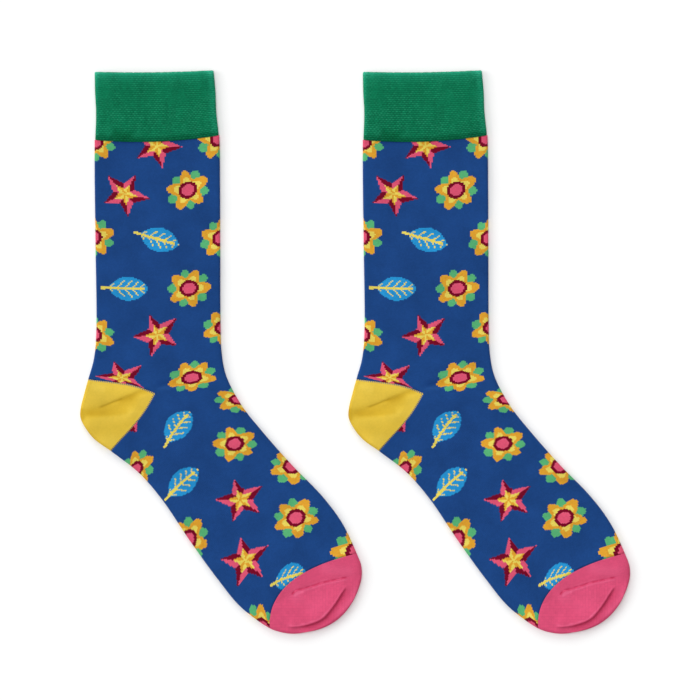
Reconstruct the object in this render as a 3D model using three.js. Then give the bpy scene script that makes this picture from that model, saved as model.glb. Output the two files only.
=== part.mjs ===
// A pair of knitted crew socks, laid flat side by side on a surface.
// Millimetres, +Z up. +X runs from the heel side towards the instep, +Y up the leg to the cuff.
// The origin lies under the middle of the pair, on the surface that the socks lie on.

import * as THREE from 'three';

// Driving dimensions

// From one sock to the same place on the other
const SOCK_SPACING = 187.6;
// Clear space between two knitted pieces at a seam
const SEAM_GAP = 0.3;
// The toe's seam runs slantwise to the edges, so its gap is wider along the middle of the foot
const TOE_SEAM_GAP = 0.5;
// Height of the two layers together where each piece lies flat, and the thickness of one layer
const CUFF = { height: 5.0, wall: 2.0, colour: 0x11704e };
const BODY = { height: 3.4, wall: 1.25, colour: 0x1f4783 };
const HEEL = { height: 3.8, wall: 1.4, colour: 0xe0c044 };
const TOE = { height: 4.0, wall: 1.4, colour: 0xe1567c };
// The cuff is the only doubled cloth: at its lower edge it comes down to this over this length
const CUFF_EDGE = { length: 3.0, height: 4.1, wall: 1.6 };
// Cloth never reflects like plastic
const CLOTH_ROUGHNESS = 0.95;

// Outline of one sock, a row for each section, from the mouth of the cuff to the tip of the toe.
// A section runs from the back edge (heel and sole side) over the middle to the front edge (instep).
// x starts at the back edge of the cuff and y at its upper edge.
const SECTIONS = [
  { at: 'cuff mouth', back: [0.0, -0.7], mid: [41.6, -0.2], front: [83.2, 0.1] },
  { at: 'cuff middle', back: [0.3, -20.3], mid: [42.5, -20.9], front: [85.0, -19.6] },
  { at: 'cuff seam', back: [-0.1, -48.6], mid: [43.2, -49.8], front: [86.9, -45.4] },
  { at: 'upper leg', back: [0.0, -74.9], mid: [43.8, -76.0], front: [87.4, -72.8] },
  { at: 'calf', back: [1.7, -125.3], mid: [44.6, -126.3], front: [87.9, -123.2] },
  { at: 'lower leg', back: [1.3, -184.1], mid: [44.4, -186.2], front: [88.1, -180.6] },
  { at: 'above ankle', back: [-0.6, -202.0], mid: [43.4, -207.0], front: [88.8, -197.4] },
  { at: 'heel corner', back: [-4.5, -215.9], mid: [41.9, -225.9], front: [92.0, -213.5] },
  { at: 'arch', back: [31.0, -281.5], mid: [62.3, -251.2], front: [102.8, -234.2] },
  { at: 'instep', back: [47.5, -300.6], mid: [79.8, -273.2], front: [117.2, -252.5] },
  { at: 'midfoot', back: [66.3, -328.5], mid: [100.6, -299.6], front: [138.4, -275.2] },
  { at: 'ball', back: [86.0, -355.7], mid: [119.3, -322.4], front: [159.8, -297.9] },
  { at: 'toe joints', back: [102.3, -375.0], mid: [131.6, -338.2], front: [173.3, -316.9] },
  { at: 'toe seam', back: [122.7, -389.9], mid: [136.5, -358.4], front: [183.2, -337.8] },
  { at: 'toes', back: [129.8, -392.8], mid: [144.5, -364.7], front: [186.9, -346.5] },
  { at: 'toe tips', back: [137.4, -394.0], mid: [153.6, -372.4], front: [187.2, -354.2] },
  { at: 'toe curve', back: [143.1, -393.8], mid: [161.7, -380.2], front: [185.0, -362.8] },
  { at: 'toe end', back: [147.3, -393.0], mid: [167.5, -385.9], front: [181.9, -369.8] },
];
// Edge of the heel from the upper to the lower corner, where its courses turn round the back
const HEEL_EDGE = [
  [-4.5, -215.9],
  [-7.8, -226.1],
  [-10.1, -235.9],
  [-10.5, -242.9],
  [-5.9, -251.3],
  [0.3, -258.3],
  [11.1, -266.0],
];
// How far the heel's two seams bow out of a straight line, towards the leg and towards the foot
const HEEL_BOW = { leg: 2.2, foot: 1.9 };
// How far the heel's point draws back from the corner of the leg for the same clear space all round
const HEEL_POINT_INSET = [-0.44, -0.16];

// Folds and ridges in the upper layer: a soft line through its points, `rise` high at the middle
const FOLDS = [
  { at: 'heel crease', width: 2.6, rise: -0.55, through: [[-3.5, -237.0], [10.0, -232.5], [24.0, -226.5]] },
  { at: 'heel mitre', width: 3.4, rise: 0.4, through: [[-3.8, -243.9], [15.0, -241.8], [32.2, -238.0]] },
  { at: 'ankle fold', width: 6.0, rise: 0.4, through: [[55.6, -232.4], [72.0, -229.5], [86.0, -229.0]] },
  { at: 'toe seam', width: 2.4, rise: 0.5, through: [[137.5, -366.0], [152.4, -359.3], [174.0, -354.3]] },
  {
    at: 'toe fold',
    width: 4.2,
    rise: 0.8,
    through: [[135.5, -385.0], [148.0, -383.0], [157.0, -378.5], [163.0, -371.5], [167.5, -362.0]],
  },
];

// Fineness of the mesh: steps over one flat layer, round a folded edge, and along each piece
const FLAT_STEPS = 10;
const FOLD_STEPS = 4;
const RING_STEP = 12.0;
const HEEL_STEPS = 16;
const TOE_RING_STEP = 4.2;
const CLOSING_STEPS = 4;
const LIP_STEPS = 3;
// The last step before an end is at least this part of a full one
const SHORTEST_STEP = 0.4;

// Rails along the sock

const rowOf = (name) => SECTIONS.findIndex((row) => row.at === name);
const CUFF_SEAM_ROW = rowOf('cuff seam');
const GORE_ROW = rowOf('heel corner');
const TOE_SEAM_ROW = rowOf('toe seam');
const LAST_ROW = SECTIONS.length - 1;

// A smooth line through [x, y] points, read by row number
function rail(points, firstRow = 0) {
  const curve = new THREE.CatmullRomCurve3(
    points.map(([x, y]) => new THREE.Vector3(x, y, 0)),
    false,
    'centripetal',
  );
  const spans = points.length - 1;
  return (row) => curve.getPoint(THREE.MathUtils.clamp((row - firstRow) / spans, 0, 1));
}

const heelEdge = rail(HEEL_EDGE);
const midRail = rail(SECTIONS.map((row) => row.mid));
const frontRail = rail(SECTIONS.map((row) => row.front));
const legRails = {
  back: rail(SECTIONS.slice(0, GORE_ROW + 1).map((row) => row.back)),
  bow: HEEL_BOW.leg,
};
const footRails = {
  back: rail([HEEL_EDGE.at(-1), ...SECTIONS.slice(GORE_ROW + 1).map((row) => row.back)], GORE_ROW),
  bow: -HEEL_BOW.foot,
};

// A straight line from `edge` to `tip`, bowed to its left by `bow` at the middle
function bowedLine(edge, tip, share, bow) {
  const along = tip.clone().sub(edge);
  const left = new THREE.Vector3(-along.y, along.x, 0).normalize();
  return edge.clone().lerp(tip, share).addScaledVector(left, bow * Math.sin(Math.PI * share));
}

// The line of one section in plan: a smooth bow, with a corner at the point of the heel
function sectionPoint(rails, row, share) {
  const back = rails.back(row);
  const mid = midRail(row);
  const front = frontRail(row);
  const bowed = new THREE.Vector3()
    .addScaledVector(back, (1 - share) * (1 - 2 * share))
    .addScaledVector(mid, 4 * share * (1 - share))
    .addScaledVector(front, share * (2 * share - 1));
  const cornered = share < 0.5
    ? bowedLine(back, mid, 2 * share, rails.bow)
    : mid.clone().lerp(front, 2 * share - 1);
  const corner = Math.max(0, 1 - Math.abs(row - GORE_ROW)) ** 2;
  return bowed.lerp(cornered, corner);
}

function lengthOf(line) {
  const steps = 24;
  let length = 0;
  for (let i = 0; i < steps; i += 1) {
    length += line(i / steps).distanceTo(line((i + 1) / steps));
  }
  return length;
}

// Rows per millimetre along the middle of the sock
function rowsPerMillimetre(row) {
  const reach = 0.02;
  const from = Math.max(0, row - reach);
  const to = Math.min(LAST_ROW, row + reach);
  return (to - from) / midRail(from).distanceTo(midRail(to));
}

// Soft folds

function distanceToLine(x, y, through) {
  const point = new THREE.Vector3(x, y, 0);
  const closest = new THREE.Vector3();
  let best = Infinity;
  for (let i = 0; i + 1 < through.length; i += 1) {
    const piece = new THREE.Line3(
      new THREE.Vector3(...through[i], 0),
      new THREE.Vector3(...through[i + 1], 0),
    );
    piece.closestPointToPoint(point, true, closest);
    best = Math.min(best, closest.distanceTo(point));
  }
  return best;
}

function foldRise(x, y) {
  let rise = 0;
  for (const fold of FOLDS) {
    rise += fold.rise * Math.exp(-((distanceToLine(x, y, fold.through) / fold.width) ** 2));
  }
  return rise;
}

// Rings round the tube

// Once round a flattened ring: over the upper layer, down the front fold, back under, up the back fold.
// `share` is the place across the flat, `out` how far it leans into a fold, `lift` up or down.
function ringStations() {
  const stations = [];
  const flat = (lift) => (step) => ({ share: step / FLAT_STEPS, out: 0, lift });
  const steps = [...Array(FLAT_STEPS + 1).keys()];
  const foldAngles = [...Array(FOLD_STEPS - 1).keys()].map(
    (step) => Math.PI / 2 - ((step + 1) * Math.PI) / FOLD_STEPS,
  );
  stations.push(...steps.map(flat(1)));
  stations.push(...foldAngles.map((angle) => ({ share: 1, out: Math.cos(angle), lift: Math.sin(angle) })));
  stations.push(...steps.toReversed().map(flat(-1)));
  stations.push(
    ...foldAngles.toReversed().map((angle) => ({ share: 0, out: -Math.cos(angle), lift: Math.sin(angle) })),
  );
  return stations;
}

const STATIONS = ringStations();

// A point of a layer `depth` inside the cloth; `close` below 1 draws the ring shut at the toe
function ringPoint(line, length, station, height, depth, close = 1) {
  const radius = (height / 2 - depth) * close;
  const inset = depth + radius;
  const along = inset + (length - 2 * inset) * station.share + station.out * radius;
  const place = line(along / length);
  const rise = depth > 0 ? Math.max(0, foldRise(place.x, place.y)) : foldRise(place.x, place.y);
  const z = height / 2 + station.lift * radius + Math.max(0, station.lift) * rise * close;
  return [place.x, place.y, z];
}

function ring(rails, row, height, depth, close = 1) {
  const line = (share) => sectionPoint(rails, row, share);
  const length = lengthOf(line);
  return STATIONS.map((station) => ringPoint(line, length, station, height, depth, close));
}

// Closed walls

// Joins two copies of one sheet, outer and inner, into a closed wall with a rim along every open edge
function wallGeometry(faces, outer, inner) {
  const count = outer.length;
  const index = [];
  const openEdges = new Map();
  for (const face of faces) {
    for (let i = 1; i + 1 < face.length; i += 1) {
      index.push(face[0], face[i], face[i + 1]);
      index.push(face[0] + count, face[i + 1] + count, face[i] + count);
    }
    face.forEach((from, i) => {
      const to = face[(i + 1) % face.length];
      if (!openEdges.delete(`${to} ${from}`)) {
        openEdges.set(`${from} ${to}`, [from, to]);
      }
    });
  }
  for (const [from, to] of openEdges.values()) {
    index.push(to, from, from + count, to, from + count, to + count);
  }
  const geometry = new THREE.BufferGeometry();
  geometry.setAttribute('position', new THREE.Float32BufferAttribute([...outer, ...inner].flat(), 3));
  geometry.setIndex(index);
  geometry.computeVertexNormals();
  return geometry;
}

// A quad between two rows of vertex numbers, without the corners that a closed end has merged
function bridge(faces, rowA, rowB, wrap) {
  const last = wrap ? rowA.length : rowA.length - 1;
  for (let i = 0; i < last; i += 1) {
    const j = (i + 1) % rowA.length;
    const corners = [rowA[i], rowB[i], rowB[j], rowA[j]];
    const face = corners.filter((corner, k) => corner !== corners[(k + 1) % corners.length]);
    if (face.length > 2) {
      faces.push(face);
    }
  }
}

// A sheet in the making: its faces and its outer and inner points
class Sheet {
  faces = [];
  outer = [];
  inner = [];

  addRow(outer, inner) {
    const start = this.outer.length;
    this.outer.push(...outer);
    this.inner.push(...inner);
    return outer.map((_, i) => start + i);
  }

  join(rowA, rowB, wrap = true) {
    bridge(this.faces, rowA, rowB, wrap);
  }

  geometry() {
    return wallGeometry(this.faces, this.outer, this.inner);
  }
}

// Evenly spaced rows from one to the other, about `step` millimetres apart along the middle
function rowsBetween(from, to, step) {
  const rows = [from];
  for (;;) {
    const here = rows.at(-1);
    const next = here + step * rowsPerMillimetre(here);
    if (next > to - SHORTEST_STEP * step * rowsPerMillimetre(to)) {
      return [...rows, to];
    }
    rows.push(next);
  }
}

// The four knitted pieces of one sock

function cuffGeometry() {
  const sheet = new Sheet();
  const { height, wall } = CUFF;
  const seam = CUFF_SEAM_ROW - SEAM_GAP * rowsPerMillimetre(CUFF_SEAM_ROW);
  const half = wall / 2;
  let previous = null;
  const addRing = (row, ringHeight, outerDepth, innerDepth) => {
    const outer = ring(legRails, row, ringHeight, outerDepth);
    const inner = ring(legRails, row, ringHeight, innerDepth);
    const next = sheet.addRow(outer, inner);
    if (previous) {
      sheet.join(previous, next);
    }
    previous = next;
  };
  // The turned edge at the mouth is rounded
  for (let i = 1; i <= LIP_STEPS; i += 1) {
    const angle = (i / (LIP_STEPS + 1)) * (Math.PI / 2);
    const row = half * (1 - Math.cos(angle)) * rowsPerMillimetre(0);
    const depth = half * (1 - Math.sin(angle));
    addRing(row, height, depth, wall - depth);
  }
  const edgeRow = seam - CUFF_EDGE.length * rowsPerMillimetre(seam);
  for (const row of rowsBetween(half * rowsPerMillimetre(0), edgeRow, RING_STEP)) {
    addRing(row, height, 0, wall);
  }
  const { lerp } = THREE.MathUtils;
  for (const share of [0.5, 1]) {
    const ease = share ** 2;
    const innerDepth = lerp(wall, CUFF_EDGE.wall, ease);
    addRing(lerp(edgeRow, seam, share), lerp(height, CUFF_EDGE.height, ease), 0, innerDepth);
  }
  return sheet.geometry();
}

function bodyGeometry() {
  const sheet = new Sheet();
  const { height, wall } = BODY;
  const points = (rails, row) => [ring(rails, row, height, 0), ring(rails, row, height, wall)];

  let previous = null;
  for (const row of rowsBetween(CUFF_SEAM_ROW, GORE_ROW, RING_STEP)) {
    const next = sheet.addRow(...points(legRails, row));
    if (previous) {
      sheet.join(previous, next);
    }
    previous = next;
  }

  // At the heel the front half of the ring goes on into the foot, and the back half starts anew
  const [outer, inner] = points(footRails, GORE_ROW);
  previous = previous.map((vertex, i) => {
    const onFront = STATIONS[i].share >= 0.5;
    return onFront ? vertex : sheet.addRow([outer[i]], [inner[i]])[0];
  });
  for (const row of rowsBetween(GORE_ROW, TOE_SEAM_ROW, RING_STEP).slice(1)) {
    const next = sheet.addRow(...points(footRails, row));
    sheet.join(previous, next);
    previous = next;
  }
  return sheet.geometry();
}

function heelGeometry() {
  const sheet = new Sheet();
  const { height, wall } = HEEL;
  const tip = midRail(GORE_ROW);
  tip.x += HEEL_POINT_INSET[0];
  tip.y += HEEL_POINT_INSET[1];
  const spans = HEEL_EDGE.length - 1;
  const edgeLength = lengthOf((share) => heelEdge(share * spans));
  const inset = (SEAM_GAP / edgeLength) * spans;
  const backHalf = STATIONS.filter((station) => station.share < 0.5);
  // Under from the point to the back edge, up round the fold and over to the point again
  const fold = backHalf.filter((station) => station.out !== 0);
  const flat = (lift) => backHalf.filter((station) => station.out === 0 && station.lift === lift);
  const around = [...flat(-1), ...fold, ...flat(1)];

  const layer = (share, depth) => {
    const edge = heelEdge(inset + share * (spans - 2 * inset));
    const bow = THREE.MathUtils.lerp(HEEL_BOW.leg, -HEEL_BOW.foot, share);
    const line = (part) => bowedLine(edge, tip, part, bow);
    const length = lengthOf(line);
    return around.map((station) => {
      const doubled = { ...station, share: 2 * station.share };
      return ringPoint(line, length, doubled, height, depth);
    });
  };
  const tipPoints = [-1, 1].map((lift) => {
    const z = (depth) => height / 2 + lift * (height / 2 - depth);
    return sheet.addRow([[tip.x, tip.y, z(0)]], [[tip.x, tip.y, z(wall)]])[0];
  });

  let previous = null;
  for (let i = 0; i <= HEEL_STEPS; i += 1) {
    const share = i / HEEL_STEPS;
    const ringRow = sheet.addRow(layer(share, 0), layer(share, wall));
    const next = [tipPoints[0], ...ringRow, tipPoints[1]];
    if (previous) {
      sheet.join(previous, next, false);
    }
    previous = next;
  }
  return sheet.geometry();
}

function toeGeometry() {
  const sheet = new Sheet();
  const { height, wall } = TOE;
  const start = TOE_SEAM_ROW + TOE_SEAM_GAP * rowsPerMillimetre(TOE_SEAM_ROW);
  const perMillimetre = rowsPerMillimetre(LAST_ROW);
  const radius = height / 2;

  let previous = null;
  const addRing = (outerRow, innerRow, close) => {
    const outer = ring(footRails, outerRow, height, 0, close);
    const inner = ring(footRails, innerRow, height, wall, close);
    const next = sheet.addRow(outer, inner);
    if (previous) {
      sheet.join(previous, next);
    }
    previous = next;
  };
  const closingRow = LAST_ROW - radius * perMillimetre;
  for (const row of rowsBetween(start, closingRow, TOE_RING_STEP)) {
    addRing(row, row, 1);
  }
  // The last rings draw the two layers together in a round fold
  for (let i = 1; i < CLOSING_STEPS; i += 1) {
    const angle = (i / CLOSING_STEPS) * (Math.PI / 2);
    const reach = Math.sin(angle) * perMillimetre;
    addRing(closingRow + radius * reach, closingRow + (radius - wall) * reach, Math.cos(angle));
  }
  // The two layers meet in one line at the very end
  const innerEnd = closingRow + (radius - wall) * perMillimetre;
  const oneLayer = (row, depth) => {
    return ring(footRails, row, height, depth, 0).slice(0, FLAT_STEPS + 1);
  };
  const end = sheet.addRow(oneLayer(LAST_ROW, 0), oneLayer(innerEnd, wall));
  const mergedTo = STATIONS.map((station) => Math.round(station.share * FLAT_STEPS));
  sheet.join(previous, mergedTo.map((step) => end[step]));
  return sheet.geometry();
}

// The pair

function knitted(name, geometry, colour) {
  const material = new THREE.MeshStandardMaterial({
    color: colour,
    roughness: CLOTH_ROUGHNESS,
    metalness: 0,
  });
  const mesh = new THREE.Mesh(geometry, material);
  mesh.name = name;
  return mesh;
}

function sock(side) {
  const group = new THREE.Group();
  group.add(
    knitted(`${side}_cuff`, cuffGeometry(), CUFF.colour),
    knitted(`${side}_leg_and_foot`, bodyGeometry(), BODY.colour),
    knitted(`${side}_heel`, heelGeometry(), HEEL.colour),
    knitted(`${side}_toe`, toeGeometry(), TOE.colour),
  );
  return group;
}

const pair = new THREE.Group();
['left', 'right'].forEach((side, place) => {
  const one = sock(side);
  one.position.x = place * SOCK_SPACING;
  pair.add(one);
});
const box = new THREE.Box3().setFromObject(pair);
const middle = box.getCenter(new THREE.Vector3());
pair.position.set(-middle.x, -middle.y, -box.min.z);

export default pair;
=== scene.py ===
"""Looks of a pair of knitted crew socks that lie flat, side by side, on a pale surface.

Each sock is one knitted tube pressed flat: a doubled cuff, a patterned leg and foot, a short-row heel
folded round the back edge, and a toe cap closed by a linked seam. Sizes are in millimetres, from the
upper back corner of the cuff, and become metres only where a mesh is written.
"""

import logging
import math
from collections.abc import Callable
from dataclasses import dataclass, field
from enum import Enum
from typing import Any

import bmesh
import bpy
import numpy as np
from mathutils import Matrix, Vector


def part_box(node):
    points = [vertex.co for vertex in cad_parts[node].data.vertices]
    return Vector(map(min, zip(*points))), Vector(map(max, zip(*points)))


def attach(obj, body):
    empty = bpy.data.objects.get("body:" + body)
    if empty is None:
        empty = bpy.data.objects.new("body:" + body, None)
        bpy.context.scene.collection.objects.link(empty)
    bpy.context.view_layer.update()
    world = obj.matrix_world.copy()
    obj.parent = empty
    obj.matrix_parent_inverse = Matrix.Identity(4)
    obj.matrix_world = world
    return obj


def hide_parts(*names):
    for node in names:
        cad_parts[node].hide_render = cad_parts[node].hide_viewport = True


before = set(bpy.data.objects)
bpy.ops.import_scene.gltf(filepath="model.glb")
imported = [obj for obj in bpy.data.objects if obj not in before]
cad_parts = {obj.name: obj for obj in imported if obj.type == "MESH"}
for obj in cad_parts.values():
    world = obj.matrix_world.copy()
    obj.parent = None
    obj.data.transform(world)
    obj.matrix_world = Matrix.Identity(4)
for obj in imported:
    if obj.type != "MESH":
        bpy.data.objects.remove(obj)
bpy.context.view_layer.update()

MM = 0.001
STITCH_MAP = "Stitches"
# Attribute that carries the painted shade and highlights of the upper layer
PAINTED_SHADE_MAP = "painted_shade_attribute"
# Wales once round a sock, then the width of one and the height of a course
WALES_ROUND = 168
WALE = 1.048
COURSE = 0.8
# Wales that lie round one folded edge
FOLD_WALES = 5.1
# Share of the width over which a puffed layer rises from a folded edge
PUFF_MARGIN = 0.1
# Above 1, the heel's seams bow more near their common tip
BOW_LEAN = 1.4
# Straight pieces in which half a row, and one row's step along the middle, are measured
HALF_STEPS = 12
ROW_STEPS = 60
# Corners nearer to each other than this, in metres, are one
WELD = 2e-6
YARN_ROUGHNESS = 0.92

Plan = tuple[float, float]
Span = tuple[float, float]
Colour = tuple[float, float, float]

log = logging.getLogger("socks")


def smooth_step(value: np.ndarray) -> np.ndarray:
    """Returns 0 below 0 and 1 above 1, with an even turn between them."""
    clipped = np.clip(value, 0.0, 1.0)
    return clipped * clipped * (3.0 - 2.0 * clipped)


def between(value: np.ndarray, low: float, high: float) -> np.ndarray:
    """Returns 0 to 1 as the value goes smoothly from low to high."""
    return smooth_step((value - low) / (high - low))


def linear(red: int, green: int, blue: int) -> Colour:
    """Turns a screen colour into the linear light that a shader takes.

    Args:
        red: Screen value from 0 to 255.
        green: Screen value from 0 to 255.
        blue: Screen value from 0 to 255.

    Returns:
        The three linear values.
    """
    shares = (channel / 255.0 for channel in (red, green, blue))
    return tuple(s / 12.92 if s <= 0.04045 else ((s + 0.055) / 1.055) ** 2.4 for s in shares)


class Side(Enum):
    """Which sock of the pair, as it lies in front of the viewer."""

    LEFT = "left"
    RIGHT = "right"


class Slot(Enum):
    """Material slots of the record."""

    CUFF = "cuff_knit"
    BODY = "patterned_knit"
    HEEL = "heel_knit"
    TOE = "toe_knit"


class Yarn(Enum):
    """Dyed yarns, as screen colours, and the painted shade of the cuff's gaps."""

    CUFF_GREEN = (11, 119, 80)
    # Painted shade in the gaps between the cuff's lines, not a yarn
    CUFF_SHADE = (4, 81, 55)
    CUFF_FLECK = (46, 136, 104)
    GROUND_BLUE = (27, 66, 125)
    HEEL_YELLOW = (217, 184, 66)
    TOE_PINK = (208, 76, 113)
    GOLD = (214, 154, 47)
    PALE_YELLOW = (222, 203, 89)
    SKY = (37, 140, 200)
    ROSE = (213, 81, 111)
    MAROON = (113, 8, 36)
    LEAF_GREEN = (84, 170, 113)

    def colour(self) -> Colour:
        """Returns the yarn's linear colour."""
        return linear(*self.value)


# The sock's form


class Rail:
    """A smooth line through points in plan, read by row number."""

    def __init__(self, points: list[Plan], first_row: int = 0) -> None:
        """Keeps the points with one more beyond either end.

        Args:
            points: Points that the line passes through, in millimetres.
            first_row: Row number of the first point.
        """
        inner = np.asarray(points, dtype=float)
        before = 2.0 * inner[0] - inner[1]
        after = 2.0 * inner[-1] - inner[-2]
        self.first_row = first_row
        self.points = np.vstack([before, inner, after])

    def at(self, rows: np.ndarray) -> np.ndarray:
        """Reads the line.

        Args:
            rows: Row numbers, in any shape.

        Returns:
            A point for each row, with x and y along the last axis.
        """
        spans = len(self.points) - 3
        along = np.clip(np.asarray(rows, dtype=float) - self.first_row, 0.0, spans)
        span = np.minimum(along.astype(int), spans - 1)
        share = (along - span)[..., None]
        a, b, c, d = (self.points[span + k] for k in range(4))
        gaps = [np.sqrt(np.linalg.norm(q - p, axis=-1, keepdims=True)) for p, q in ((a, b), (b, c), (c, d))]
        start = (b - a) / gaps[0] - (c - a) / (gaps[0] + gaps[1]) + (c - b) / gaps[1]
        end = (c - b) / gaps[1] - (d - b) / (gaps[1] + gaps[2]) + (d - c) / gaps[2]
        start, end = start * gaps[1], end * gaps[1]
        bend = 3.0 * (c - b) - 2.0 * start - end
        twist = 2.0 * (b - c) + start + end
        return b + share * (start + share * (bend + share * twist))


def bowed_line(edge: np.ndarray, tip: np.ndarray, share: np.ndarray, bow: float) -> np.ndarray:
    """Reads a straight line that is bowed to its left, most of all nearer its tip.

    Args:
        edge: Where the line starts.
        tip: Where it ends.
        share: Place along it, from 0 to 1, with a last axis of one.
        bow: How far it bows out.

    Returns:
        A point for each share.
    """
    along = tip - edge
    left = np.stack([-along[..., 1], along[..., 0]], axis=-1)
    left = left / np.linalg.norm(left, axis=-1, keepdims=True)
    return edge + along * share + left * (bow * np.sin(np.pi * np.clip(share, 0.0, 1.0) ** BOW_LEAN))


class CreaseLine:
    """A smooth line in plan that distances are measured from."""

    def __init__(self, through: list[Plan], steps: int = 40) -> None:
        """Breaks the smooth line into short straight pieces.

        Args:
            through: Points that the line passes through.
            steps: Number of straight pieces.
        """
        self.points = Rail(through).at(np.linspace(0.0, len(through) - 1.0, steps + 1))
        pieces = np.diff(self.points, axis=0)
        self.lengths = np.linalg.norm(pieces, axis=1)
        self.ways = pieces / self.lengths[:, None]
        self.starts = np.concatenate([[0.0], np.cumsum(self.lengths)])[:-1]
        self.total = float(self.lengths.sum())

    def measure(self, plan: np.ndarray) -> tuple[np.ndarray, np.ndarray]:
        """Measures places against the line.

        Args:
            plan: Places, with x and y along the last axis.

        Returns:
            Distance from the line, positive on its left, and length along it.
        """
        flat = plan.reshape(-1, 2)
        offsets = flat[:, None, :] - self.points[None, :-1, :]
        along = np.clip((offsets * self.ways).sum(axis=-1), 0.0, self.lengths)
        rest = offsets - along[..., None] * self.ways
        nearest = np.argmin((rest**2).sum(axis=-1), axis=1)
        picked = np.arange(len(flat))
        rest, way = rest[picked, nearest], self.ways[nearest]
        turn = way[:, 0] * rest[:, 1] - way[:, 1] * rest[:, 0]
        distance = np.linalg.norm(rest, axis=1) * np.where(turn < 0.0, -1.0, 1.0)
        length = self.starts[nearest] + along[picked, nearest]
        return distance.reshape(plan.shape[:-1]), length.reshape(plan.shape[:-1])


@dataclass(frozen=True)
class SoftLine:
    """A line that fades away on both sides: a fold if it lifts the cloth, painted shade if it darkens its
    colour and a painted highlight if it lightens it.

    Where `dash` isn't 0, the line is broken into uneven dashes of about that length.
    """

    through: list[Plan]
    strength: float
    left: float
    right: float
    taper: float = 6.0
    dash: float = 0.0

    def at(self, plan: np.ndarray) -> np.ndarray:
        """Returns the line's strength at each place."""
        line = CreaseLine(self.through)
        reach = 3.0 * max(self.left, self.right)
        above = (plan > line.points.min(axis=0) - reach).all(axis=-1)
        near = above & (plan < line.points.max(axis=0) + reach).all(axis=-1)
        result = np.zeros(plan.shape[:-1])
        if near.any():
            result[near] = self.strength * self.fall(line, plan[near])
        return result

    def fall(self, line: CreaseLine, plan: np.ndarray) -> np.ndarray:
        """Returns how far the line has faded at each place, from 1 on it to 0.

        Args:
            line: The line.
            plan: Places near it.

        Returns:
            A share for each place.
        """
        distance, length = line.measure(plan)
        width = np.where(distance > 0.0, self.left, self.right)
        fade = smooth_step(length / self.taper) * smooth_step((line.total - length) / self.taper)
        if self.dash > 0.0:
            turn = 2.0 * np.pi * length / self.dash
            fade = fade * smooth_step(0.42 + 0.5 * np.sin(turn / 2.0) + 0.45 * np.sin(turn / 3.3 + 1.0))
        return fade * np.exp(-((distance / width) ** 2))


@dataclass(frozen=True)
class Wave:
    """One slow wave of the cloth that keeps it from lying dead flat."""

    rise: float
    length: float
    heading: float
    phase: float

    def at(self, plan: np.ndarray) -> np.ndarray:
        """Returns the wave's height at each place."""
        way = math.radians(self.heading)
        along = plan[..., 0] * math.cos(way) + plan[..., 1] * math.sin(way)
        return self.rise * np.sin(2.0 * np.pi * along / self.length + self.phase)


# Lines that show in the cloth


TOE_FOLD = [
    (134.4, -388.9),
    (141.8, -388.7),
    (149.9, -387.1),
    (159.3, -383.0),
    (165.6, -375.9),
    (169.3, -370.7),
    (172.1, -366.1),
    (174.2, -363.0),
    (176.6, -359.8),
]
TOE_SEAM = [
    (137.5, -367.0),
    (139.2, -364.7),
    (141.3, -363.2),
    (145.5, -362.5),
    (149.7, -361.1),
    (153.9, -359.9),
    (158.1, -358.3),
    (163.0, -357.1),
    (167.9, -356.2),
    (172.8, -355.0),
    (177.4, -354.3),
]


def beside(line: list[Plan], x: float, y: float) -> list[Plan]:
    """Returns a line moved by a small step."""
    return [(px + x, py + y) for px, py in line]


HEEL_EDGE = [
    (-4.5, -215.9),
    (-7.3, -226.1),
    (-9.7, -235.9),
    (-9.9, -242.9),
    (-5.5, -251.5),
    (0.3, -258.3),
    (11.5, -266.3),
]
HEEL_CREASE = [(2.4, -236.3), (5.3, -235.2), (9.0, -233.8), (13.2, -232.0), (17.1, -230.6), (20.2, -229.5)]
HEEL_FOLD = [(14.6, -231.9), (18.8, -230.4), (23.0, -229.0), (27.2, -227.2), (32.8, -224.8), (40.0, -224.0)]
HEEL_TROUGH = [(-10.0, -240.2), (2.0, -238.2), (14.0, -235.2), (24.0, -231.2), (33.0, -227.7)]
HEEL_MITRE = [(-9.0, -245.0), (-3.8, -243.9), (15.0, -241.8), (32.2, -238.0)]
HEEL_SHADOW = [(-9.5, -240.2), (4.1, -240.5), (13.2, -240.2), (18.5, -239.7), (24.5, -238.0)]
TOE_SHADOW = beside(TOE_FOLD[1:], 0.6, -0.75)
# Where the toe's courses turn to follow the seam, and where they meet at a slant
TOE_TURN = [(110.0, -380.0), *TOE_SEAM, (200.0, -352.0)]
TOE_MITRE = [(138.0, -358.0), (143.0, -365.0), (157.0, -384.0), (163.0, -396.0)]
# Lines of painted highlight and shade at the ankle, and of painted shade at the cuff's lower edge
ANKLE_PULL = [(41.9, -222.8), (53.1, -221.8), (65.0, -221.1)]
CUFF_LOW_SHADOW = [(-2.0, -47.0), (30.0, -48.6), (50.0, -48.2), (90.0, -43.6)]
CREASES = [
    SoftLine(HEEL_CREASE, -0.4, 0.7, 1.4, 3.0),
    SoftLine(HEEL_FOLD, -0.3, 1.6, 2.2, 6.0),
    SoftLine(HEEL_TROUGH, -0.5, 5.0, 5.5, 9.0),
    SoftLine(HEEL_MITRE, 0.45, 4.0, 5.0, 7.0),
    SoftLine([(55.6, -232.4), (72.0, -229.5), (92.0, -229.0)], 0.5, 4.0, 9.0, 9.0),
    SoftLine(beside(TOE_SEAM, 0.3, -1.1), 0.18, 0.7, 1.6, 3.0),
    SoftLine(TOE_SEAM, -0.12, 0.9, 0.6, 4.0),
    SoftLine(TOE_FOLD, 1.1, 9.0, 0.7, 6.0),
    SoftLine(beside(TOE_FOLD, 1.2, -1.5), -0.35, 0.9, 3.2, 7.0),
]
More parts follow.
